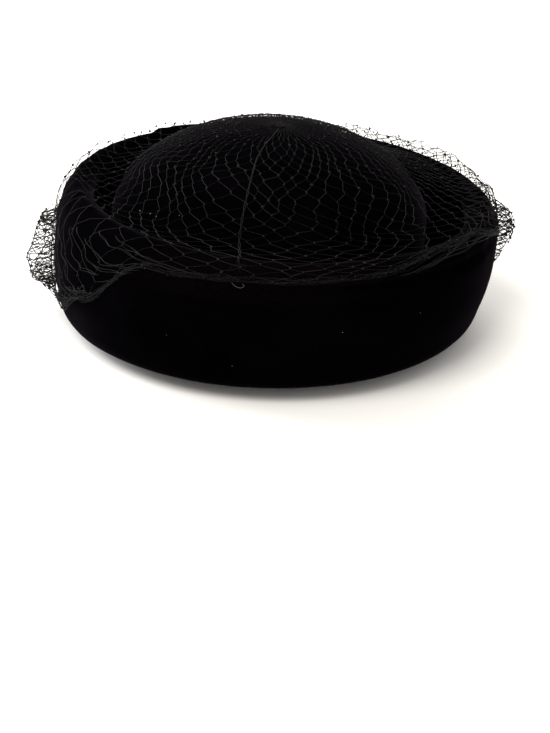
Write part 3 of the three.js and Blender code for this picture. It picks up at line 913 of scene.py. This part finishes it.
def net_material():
    material, tree, surface = new_material("black net", NET_SURFACE)
    place = add(tree, "ShaderNodeTexCoord").outputs["Object"]
    worn = add(tree, "ShaderNodeTexNoise", {"Vector": place}, WORN_PATCHES).outputs["Fac"]
    fibre = add(tree, "ShaderNodeTexNoise", {"Vector": place}, NET_FIBRE).outputs["Fac"]
    colour = add(tree, "ShaderNodeMix", {"Factor": ranged(tree, worn, WORN_RANGE)},
                 {"A": NET_DARK, "B": NET_WORN}, data_type="RGBA")
    tree.links.new(colour.outputs["Result"], surface.inputs["Base Color"])
    bumped(tree, surface, fibre, FIBRE_BUMP, FIBRE_DEPTH)
    return material


net_cloth = net_material()


def add_net(name, net, seed, *nodes, **inputs):
    finished(name, netted(name, net, material=net_cloth, seed=seed, **inputs), net_cloth, "net",
             *nodes)


def veil_thickness(row, column, way):
    """Strands that run forward down the hat carry the pull of the hem. The others lie slack. All
    are drawn fine where they crowd into the gather."""
    fine = mix(GATHER_STRAND, 1, ease(row / GATHER_STRAND_ROWS))
    if way == 0:
        return fine
    forward = way * math.cos(math.radians(veil_angle(column))) < 0
    return fine * (STEEP_STRAND if forward else FAINT_STRAND)


def veil_surface(across, down):
    """The veil's place at a column and row, with the slow drift of cells that were pulled by hand."""
    turn = math.radians(veil_angle(across))
    drift = noise.noise_vector(Vector((
        DRIFT_ROUND * math.cos(turn),
        DRIFT_ROUND * math.sin(turn),
        down / DRIFT_ROWS,
    )))
    left = VEIL_CROWN_ROWS + VEIL_RIM_ROWS - down
    free = ease(down / DRIFT_ROWS_FROM_GATHER) * ease(left / DRIFT_ROWS_FROM_EDGE)
    return veil_point(veil_angle(across + VEIL_DRIFT * free * drift.x),
                      down + VEIL_DRIFT * free * drift.y)


veil_lattice = lattice(Strands(), veil_surface, VEIL_COLUMNS, VEIL_CROWN_ROWS + VEIL_RIM_ROWS,
                       random.Random(5), closed=True, thickness=veil_thickness)
add_net("veil_net", veil_lattice, 5, "veil")

# Spare fold of the veil. Round the far right the net lies double over the rim and stands up off it
# in loose, crumpled cells. It is the same net, not a piece of its own, and hangs on the veil there.
SPARE_START = -22
SPARE_END = 96
SPARE_COLUMNS = 34
SPARE_ROWS = 4
SPARE_FIRST_ROW = 18.8
SPARE_ROW_STEP = 0.97
SPARE_STRAND = 0.00016
SPARE_HEIGHT = 0.55
SPARE_ENDS = 0.12
SPARE_JITTER = 0.3


def spare_fold(across, down):
    share = across / SPARE_COLUMNS
    from_end = min(share, 1 - share) / SPARE_ENDS
    return veil_point(mix(SPARE_START, SPARE_END, share), SPARE_FIRST_ROW + SPARE_ROW_STEP * down,
                      SPARE_HEIGHT * ease(from_end))


spare_lattice = lattice(Strands(), spare_fold, SPARE_COLUMNS, SPARE_ROWS, random.Random(6),
                        jitter=SPARE_JITTER)
add_net("veil_spare_fold", spare_lattice, 6, strand_radius=SPARE_STRAND)

# Gather on top. The veil's centre is drawn up on a thread and stitched down, in a small knot of
# crossing loops. A doubled seam strand runs from it down the front, and ends in a few frayed fibres.
KNOT_LOOPS = 6
LOOP_RADIUS = 0.0026
LOOP_REACHES = (0.35, 1.1)
LOOP_STEPS = 10
LOOP_DRIFT = 0.0008
LOOP_HEIGHT = 0.0002
LOOP_RISE = 0.0007
LOOP_TILTS = (0.1, 0.5)
LOOP_STRAND = 0.8
SEAM_ANGLE = 260.5
SEAM_LAST_ROW = 22.2
SEAM_STEPS = 46
SEAM_LIFT = Vector((0, -0.0003, 0.0004))
SEAM_SWAY = 0.35
SEAM_SWAY_PER_ROW = 1.9
SEAM_STRAND = 1.45
FRAY_COUNT = 9
FRAY_LENGTH = 0.007
FRAY_STEPS = 4
FRAY_SIDEWAYS = (-1, 0.7)
FRAY_DOWNWARD = (-1, 0.2)
FRAY_BENDS = (-0.5, 0.5)
FRAY_OUTWARD = 0.28
FRAY_CURL = 0.1
FRAY_STRAND = 0.6


def gather_strands(chance):
    net = Strands()
    middle = drawn_to_gather(MIDDLE + Vector((CROWN_SHIFT, CROWN_SET_BACK, 0)), VEIL_LIFT)
    for _ in range(KNOT_LOOPS):
        radius = LOOP_RADIUS * chance.uniform(*LOOP_REACHES)
        drift = Vector((chance.uniform(-1, 1), chance.uniform(-1, 1), 0)) * LOOP_DRIFT
        tilt = chance.uniform(*LOOP_TILTS)
        start = chance.uniform(0, math.tau)
        turns = [step * math.tau / LOOP_STEPS for step in range(LOOP_STEPS)]
        net.thread([
            middle + drift + Vector((
                radius * math.cos(turn),
                radius * math.sin(turn),
                LOOP_HEIGHT + LOOP_RISE * tilt * (1 + math.sin(start + 2 * turn)),
            ))
            for turn in turns
        ], LOOP_STRAND, True)
    for side in (-1, 1):
        rows = [SEAM_LAST_ROW * step / SEAM_STEPS for step in range(SEAM_STEPS + 1)]
        net.thread([
            veil_point(SEAM_ANGLE + side * SEAM_SWAY * math.sin(row * SEAM_SWAY_PER_ROW), row)
            + SEAM_LIFT
            for row in rows
        ], SEAM_STRAND)
    end = veil_point(SEAM_ANGLE, SEAM_LAST_ROW)
    for _ in range(FRAY_COUNT):
        aim_x, aim_z = chance.uniform(*FRAY_SIDEWAYS), chance.uniform(*FRAY_DOWNWARD)
        bend = chance.uniform(*FRAY_BENDS)
        net.thread([
            end + FRAY_LENGTH * step / FRAY_STEPS * Vector((
                aim_x + bend * step / FRAY_STEPS,
                -FRAY_OUTWARD - FRAY_CURL * step / FRAY_STEPS,
                aim_z - bend * step / FRAY_STEPS,
            ))
            for step in range(FRAY_STEPS + 1)
        ], FRAY_STRAND)
    return net


add_net("veil_gather_and_seam", gather_strands(random.Random(8)), 8)

# Gathered edge of the veil. The net's cut edge is drawn up on a thread, so that its strands run side
# by side round the cuff in a soft rope, tacked onto the roll in front and lower down elsewhere.
HEM_WIDTH = 0.007
HEM_THICKNESS = 0.004
HEM_SEAT = 0.0003
ROPE_STRANDS = 11
ROPE_STATIONS = 240
ROPE_CROSSINGS = 9
ROPE_FLATNESS = 0.5
ROPE_STRAND_SIZES = (0.5, 0.95)
ROPE_WANDER = 2.2
ROPE_WANDER_ANGLE = 7
ROPE_WANDER_APART = 3.7
ROPE_SPREAD = 0.35
ROPE_SPREAD_ANGLE = 5
ROPE_SPREAD_APART = 1.3
ROPE_KNOT_CHANCE = 0.1
ROPE_KNOT_SIZES = (0.5, 0.9)


def hem_frame(angle):
    """Middle of the gathered edge, with its directions along the wall and out of it."""
    outline = cuff_outline(angle)
    half = 0.5 * HEM_WIDTH * round_at("full", angle) / CUFF_HEIGHT
    middle = outline_at(outline, round_at("hem", angle))
    above = outline_at(outline, round_at("hem", angle) + half)
    below = outline_at(outline, round_at("hem", angle) - half)
    rise = (above - below).normalized()
    outward = Vector((-rise.y, rise.x))
    proud = max(0, (above - middle).dot(outward), (below - middle).dot(outward))
    lift = 0.5 * ROPE_FLATNESS * HEM_THICKNESS + HEM_SEAT + proud
    return middle + lift * outward, rise, outward


def rope_point(angle, up, out):
    middle, rise, outward = hem_frame(angle)
    half = 0.5 * HEM_WIDTH * round_at("full", angle)
    flat = 0.5 * ROPE_FLATNESS * HEM_THICKNESS
    return place_on_cuff(angle, middle + half * up * rise + flat * out * outward)


def hem_strands(chance):
    net = Strands()
    for strand in range(ROPE_STRANDS):
        start = chance.uniform(0, math.tau)
        reach = math.sqrt((strand + 0.5) / ROPE_STRANDS)
        turns = chance.choice((-1, 1)) * chance.randint(2, ROPE_CROSSINGS)
        thickness = chance.uniform(*ROPE_STRAND_SIZES)
        ring = []
        for station in range(ROPE_STATIONS):
            angle = 360 * station / ROPE_STATIONS
            wander = noise.noise(Vector((
                angle / ROPE_WANDER_ANGLE, strand * ROPE_WANDER_APART, 0.5,
            )))
            swing = start + turns * math.radians(angle) + ROPE_WANDER * wander
            uneven = noise.noise(Vector((
                angle / ROPE_SPREAD_ANGLE, strand * ROPE_SPREAD_APART, 4,
            )))
            spread = reach * (1 + ROPE_SPREAD * uneven)
            ring.append(net.point(
                rope_point(angle, spread * math.cos(swing), spread * math.sin(swing)),
                thickness * round_at("full", angle),
                chance.uniform(*ROPE_KNOT_SIZES) if chance.random() < ROPE_KNOT_CHANCE else 0,
            ))
        net.edges.extend(zip(ring, ring[1:] + ring[:1]))
    return net


add_net("veil_hem_rope", hem_strands(random.Random(12)), 12, "veil_hem")

# Drawn strands. Where the gathered edge turns down at the left and up onto the roll at the right, it
# pulls single strands of the net taut across the velvet, toward the place where it is tacked.
# Each line is a list of (angle, height share) on the cuff
DRAWN_STRANDS = [
    [(199, 0.80), (203, 0.70), (206, 0.58), (210, 0.47)],
    [(202.7, 0.83), (206.6, 0.73), (210.5, 0.655), (214, 0.566), (219, 0.54)],
    [(209.6, 0.89), (213, 0.79), (216.8, 0.728), (221, 0.71), (226, 0.72)],
    [(213, 0.93), (218, 0.82), (223, 0.77), (229, 0.775), (235, 0.81)],
    [(217.4, 0.895), (224.6, 0.83), (231.2, 0.826), (238, 0.86)],
    [(221, 0.963), (226, 0.93), (231.2, 0.925), (239.5, 0.918), (248, 0.90)],
    [(228, 0.975), (234, 0.95), (243, 0.93), (254, 0.915)],
    [(300, 0.915), (308, 0.95), (316, 0.985), (324, 0.99)],
    [(303, 0.92), (312, 0.975), (321, 1.0), (331, 0.985), (340, 0.93)],
    [(306, 0.93), (315, 0.965), (325, 0.975), (336, 0.94), (346, 0.87)],
    [(310, 0.955), (319, 0.985), (330, 0.975), (343, 0.90), (354, 0.80)],
]
DRAWN_LIFT = 0.0030
DRAWN_WAVE = 0.0007
DRAWN_WAVE_STEP = 0.9
DRAWN_STEPS = 6
DRAWN_TOGETHER = 2
DRAWN_SHIFT_ANGLE = 0.8
DRAWN_SHIFT_HEIGHT = 0.012
DRAWN_STRAND_SIZES = (0.8, 1.15)


def drawn_strands(chance):
    net = Strands()
    for line in DRAWN_STRANDS:
        for _ in range(DRAWN_TOGETHER):
            marks = [
                Vector(mark) + Vector((
                    chance.uniform(-DRAWN_SHIFT_ANGLE, DRAWN_SHIFT_ANGLE),
                    chance.uniform(-DRAWN_SHIFT_HEIGHT, DRAWN_SHIFT_HEIGHT),
                ))
                for mark in line
            ]
            places = []
            for index, mark in enumerate(smooth_line(marks, DRAWN_STEPS)):
                lift = DRAWN_LIFT + DRAWN_WAVE * math.sin(index * DRAWN_WAVE_STEP)
                places.append(on_cuff(mark.x, min(mark.y, 1), lift))
            net.thread(places, chance.uniform(*DRAWN_STRAND_SIZES))
    return net


add_net("veil_drawn_strands", drawn_strands(random.Random(15)), 15)

# Bunches of net at the two ends. Where the gathered edge is tacked down, the spare net stands out
# from the cuff in crumpled pouches: a long one on the left, and a small tuft with an open loop under
# it on the right. The sizes out from the cuff are in metres, at even steps from foot to top.
LEFT_POUCHES = [
    {"foot_angle": 195, "top_angle": 181, "foot": 0.29, "top": 0.725, "thick": 0.023,
     "depth": [0.002, 0.007, 0.0105, 0.0125, 0.0145, 0.0130, 0.0105, 0.0095, 0.0095, 0.0090, 0.006],
     "columns": 15, "rows": 8, "crumple": 0.0019},
    {"foot_angle": 194, "top_angle": 183, "foot": 0.30, "top": 0.715, "thick": 0.014,
     "depth": [0.002, 0.005, 0.008, 0.009, 0.008, 0.006, 0.004, 0.005, 0.0065, 0.0080, 0.006],
     "columns": 13, "rows": 6, "crumple": 0.0024},
    {"foot_angle": 195, "top_angle": 191, "foot": 0.29, "top": 0.40, "thick": 0.014,
     "depth": [0.002, 0.006, 0.0090, 0.0110, 0.0125],
     "columns": 6, "rows": 6, "crumple": 0.0022},
    {"foot_angle": 183, "top_angle": 181, "foot": 0.64, "top": 0.73, "thick": 0.013,
     "depth": [0.0080, 0.0095, 0.0090, 0.006],
     "columns": 5, "rows": 6, "crumple": 0.0020},
]
LEFT_FOLD = {
    "foot_angle": 201, "top_angle": 221, "foot": 0.27, "top": 0.58, "thick": 0.014,
    "depth": [0.0015, 0.0025, 0.0035, 0.003, 0.002, 0.0012],
    "columns": 12, "rows": 5, "crumple": 0.0021,
}
RIGHT_POUCHES = [
    {"foot_angle": -3, "top_angle": 3, "foot": 0.69, "top": 0.92, "thick": 0.017,
     "depth": [0.0075, 0.0096, 0.0100, 0.0102, 0.0100, 0.0085, 0.003],
     "columns": 8, "rows": 9, "crumple": 0.0021},
    {"foot_angle": -2, "top_angle": 2, "foot": 0.70, "top": 0.90, "thick": 0.011,
     "depth": [0.006, 0.0075, 0.0085, 0.0085, 0.0075, 0.003],
     "columns": 7, "rows": 7, "crumple": 0.0028},
    {"foot_angle": -4, "top_angle": -1, "foot": 0.50, "top": 0.70, "thick": 0.004,
     "depth": [0.001, 0.0035, 0.005, 0.0065, 0.0075],
     "columns": 6, "rows": 5, "crumple": 0.0010},
]
POUCH_LIFT = 0.0005
POUCH_SWAY = 0.7
POUCH_SWAY_COLUMNS = 4.3
POUCH_CELLS = 2.2
POUCH_CRUMPLE_LEAST = 0.35
POUCH_CRUMPLE_MIDDLE = 0.65
POUCH_CRUMPLE_OUT = 0.8
POUCH_JITTER = 0.28
LOOSE_END = 0.003
LOOSE_LENGTHS = (0.3, 1)
LOOSE_ROWS = (0.35, 0.65)
LOOSE_PER_COLUMNS = 3
LOOSE_STEPS = 3
LOOSE_BEND = 0.3
LOOSE_STRAND = 0.9


def pouch_surface(pouch, seed):
    columns, rows = pouch["columns"], pouch["rows"]
    profile = pouch["depth"]

    def surface(across, down):
        share = min(max(across / columns, 0), 1)
        turn = math.pi * min(max(down / rows, 0), 1)
        place = share * (len(profile) - 1)
        step = min(int(place), len(profile) - 2)
        depth = mix(profile[step], profile[step + 1], place - step)
        rough = noise.noise_vector(Vector((
            share * columns / POUCH_CELLS, down / POUCH_CELLS, seed,
        )))
        slack = POUCH_CRUMPLE_LEAST + POUCH_CRUMPLE_MIDDLE * math.sin(turn)
        loose = pouch["crumple"] * slack
        out = POUCH_LIFT + depth * math.sin(turn) + POUCH_CRUMPLE_OUT * loose * rough.x
        sway = noise.noise(Vector((share * columns / POUCH_SWAY_COLUMNS, 0, seed)))
        aside = pouch["thick"] * (0.5 * math.cos(turn) + POUCH_SWAY * sway) + loose * rough.y
        angle = mix(pouch["foot_angle"], pouch["top_angle"], share)
        angle += math.degrees(aside / (BELLY_WIDTH / 2))
        height = mix(pouch["foot"], pouch["top"], share) + loose * rough.z / CUFF_HEIGHT
        seat = outline_at(cuff_outline(angle), height)
        return place_on_cuff(angle, Vector((seat.x - max(out, POUCH_LIFT), seat.y)))
    return surface


def bunched_net(pouches, seed):
    """Pouches of small, crumpled cells with a few strands cut loose along them."""
    net = Strands()
    chance = random.Random(seed)
    for index, pouch in enumerate(pouches):
        surface = pouch_surface(pouch, seed + index)
        columns, rows = pouch["columns"], pouch["rows"]
        lattice(net, surface, columns, rows, chance, jitter=POUCH_JITTER)
        for _ in range(columns // LOOSE_PER_COLUMNS):
            across, down = chance.uniform(0, columns), chance.uniform(*LOOSE_ROWS) * rows
            start = surface(across, down)
            heading = (surface(across + 0.5, down + 0.5) - surface(across - 0.4, down)).normalized()
            bend = Vector([chance.uniform(-1, 1) for _ in range(3)])
            length = LOOSE_END * chance.uniform(*LOOSE_LENGTHS)
            net.thread([
                start + length * step / LOOSE_STEPS * (
                    heading + LOOSE_BEND * step * bend / LOOSE_STEPS
                )
                for step in range(LOOSE_STEPS + 1)
            ], LOOSE_STRAND)
    return net


BUNCH_STRAND = 0.00021
BUNCH_KNOT = 0.00055
add_net("veil_ruffle_left", bunched_net(LEFT_POUCHES, 21), 21, "veil_bunch_left",
        strand_radius=BUNCH_STRAND, knot_radius=BUNCH_KNOT)
add_net("veil_fold_left", bunched_net([LEFT_FOLD], 27), 27)
add_net("veil_tuft_right", bunched_net(RIGHT_POUCHES, 32), 32, "veil_bunch_right",
        strand_radius=BUNCH_STRAND, knot_radius=BUNCH_KNOT)

# Lint. A few pale specks and one short curled fibre have settled on the velvet and on the net.
LINT_ON_CUFF = [(286, 0.562, 0.35), (246, 0.46, 0.2), (306, 0.61, 0.22), (262, 0.30, 0.2)]
LINT_ON_VEIL = [(217, 16.2, 0.5), (223, 16.0, 0.45), (226.5, 16.0, 0.35), (236, 15.1, 0.3)]
LINT_FIBRE = [(259.5, 0.87), (260.5, 0.845), (261.8, 0.835), (262.6, 0.85), (262.2, 0.87)]
LINT_COLOUR = (0.22, 0.21, 0.20, 1)
LINT_SHADE = (0.08, 0.078, 0.075, 1)
LINT_FLUFF = {"Scale": 3000.0, "Detail": 3.0}
SPECK_LIFT = 0.0005
SPECK_ON_NET = Vector((0, -0.0004, 0.0004))
FIBRE_LIFT = 0.0007
FIBRE_SIZE = 0.6


def lint():
    material, tree, surface = new_material("lint", {"Roughness": 0.95})
    place = add(tree, "ShaderNodeTexCoord").outputs["Object"]
    fluff = add(tree, "ShaderNodeTexNoise", {"Vector": place}, LINT_FLUFF)
    colour = add(tree, "ShaderNodeMix", {"Factor": fluff.outputs["Fac"]},
                 {"A": LINT_SHADE, "B": LINT_COLOUR}, data_type="RGBA")
    tree.links.new(colour.outputs["Result"], surface.inputs["Base Color"])
    net = Strands()
    for angle, height, size in LINT_ON_CUFF:
        net.point(on_cuff(angle, height, SPECK_LIFT), 1, size)
    for angle, row, size in LINT_ON_VEIL:
        net.point(veil_point(angle, row) + SPECK_ON_NET, 1, size)
    net.thread([on_cuff(*mark, FIBRE_LIFT) for mark in LINT_FIBRE], FIBRE_SIZE)
    finished("lint", netted("lint", net, material=material, seed=3), material, "net")


lint()

# Floor and light. A pale floor in a pale, evenly lit room. Broad soft lights shine from above on
# the left, from above behind the hat and from lower down behind it on the left.
FLOOR_SIZE = 6
FLOOR_SURFACE = {"Base Color": (0.90, 0.885, 0.86, 1), "Roughness": 0.8}
ROOM_COLOUR = (1, 0.985, 0.96, 1)
ROOM_STRENGTH = 0.8


def floor_piece():
    mesh = bpy.data.meshes.new("floor")
    half = FLOOR_SIZE / 2
    mesh.from_pydata([(-half, -half, 0), (half, -half, 0), (half, half, 0), (-half, half, 0)],
                     [], [(0, 1, 2, 3)])
    mesh.materials.append(new_material("pale floor", FLOOR_SURFACE)[0])
    floor = bpy.data.objects.new("floor", mesh)
    bpy.context.scene.collection.objects.link(floor)


floor_piece()


def soft_light(name, place, size, power, colour):
    data = bpy.data.lights.new(name, "AREA")
    data.size = size
    data.energy = power
    data.color = colour
    light = bpy.data.objects.new(name, data)
    place = Vector(place)
    toward = (place - aim).to_track_quat("Z", "Y").to_matrix().to_4x4()
    light.matrix_world = Matrix.Translation(place) @ toward
    bpy.context.scene.collection.objects.link(light)


soft_light("key", place=(-0.5, -0.6, 1.3), size=0.8, power=16, colour=(1, 0.97, 0.93))
soft_light("rear", place=(0.1, 1.1, 1.2), size=1.2, power=12, colour=(1, 0.98, 0.95))
soft_light("side", place=(-1.3, 0.5, 0.6), size=0.7, power=20, colour=(0.93, 0.95, 1))

world = bpy.data.worlds.new("room")
world.use_nodes = True
world.node_tree.nodes["Background"].inputs["Color"].default_value = ROOM_COLOUR
world.node_tree.nodes["Background"].inputs["Strength"].default_value = ROOM_STRENGTH
bpy.context.scene.world = world
bpy.context.scene.view_settings.view_transform = "Standard"
